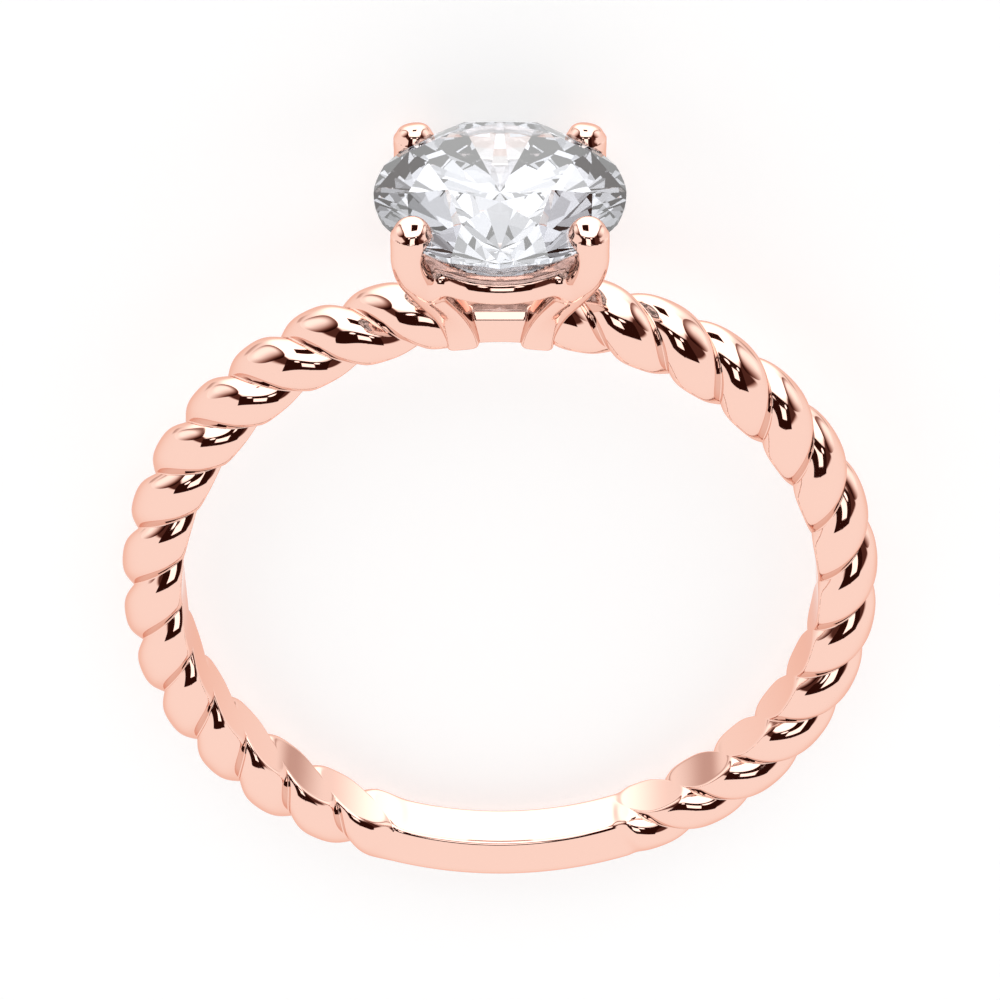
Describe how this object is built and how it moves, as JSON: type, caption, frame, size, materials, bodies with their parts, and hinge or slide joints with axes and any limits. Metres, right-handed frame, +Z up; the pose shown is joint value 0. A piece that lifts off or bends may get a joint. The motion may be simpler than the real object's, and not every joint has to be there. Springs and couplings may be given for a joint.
{
  "type": "twisted shank ring",
  "caption": "Ring with a twisted rope shank, a plain bar at the bottom and a prong head that holds a round brilliant-cut stone.",
  "frame": {"origin": "on the table under the middle of the ring's box, where the ring lies on its side", "axes": "+Z up from the table, +Y from the finger hole towards the stone, +X across the ring; the finger hole's axis leans back from +Z by about 6 degrees, because the stone's edge holds that side up"},
  "size_m": [0.0206, 0.024, 0.0065],
  "materials": {
    "rose_gold": "mirror polished rose gold",
    "stone": "clear, facet cut and polished"
  },
  "bodies": {
    "root": {"shank_and_head": "rose_gold", "round_stone": "stone"}
  },
  "joints": []
}
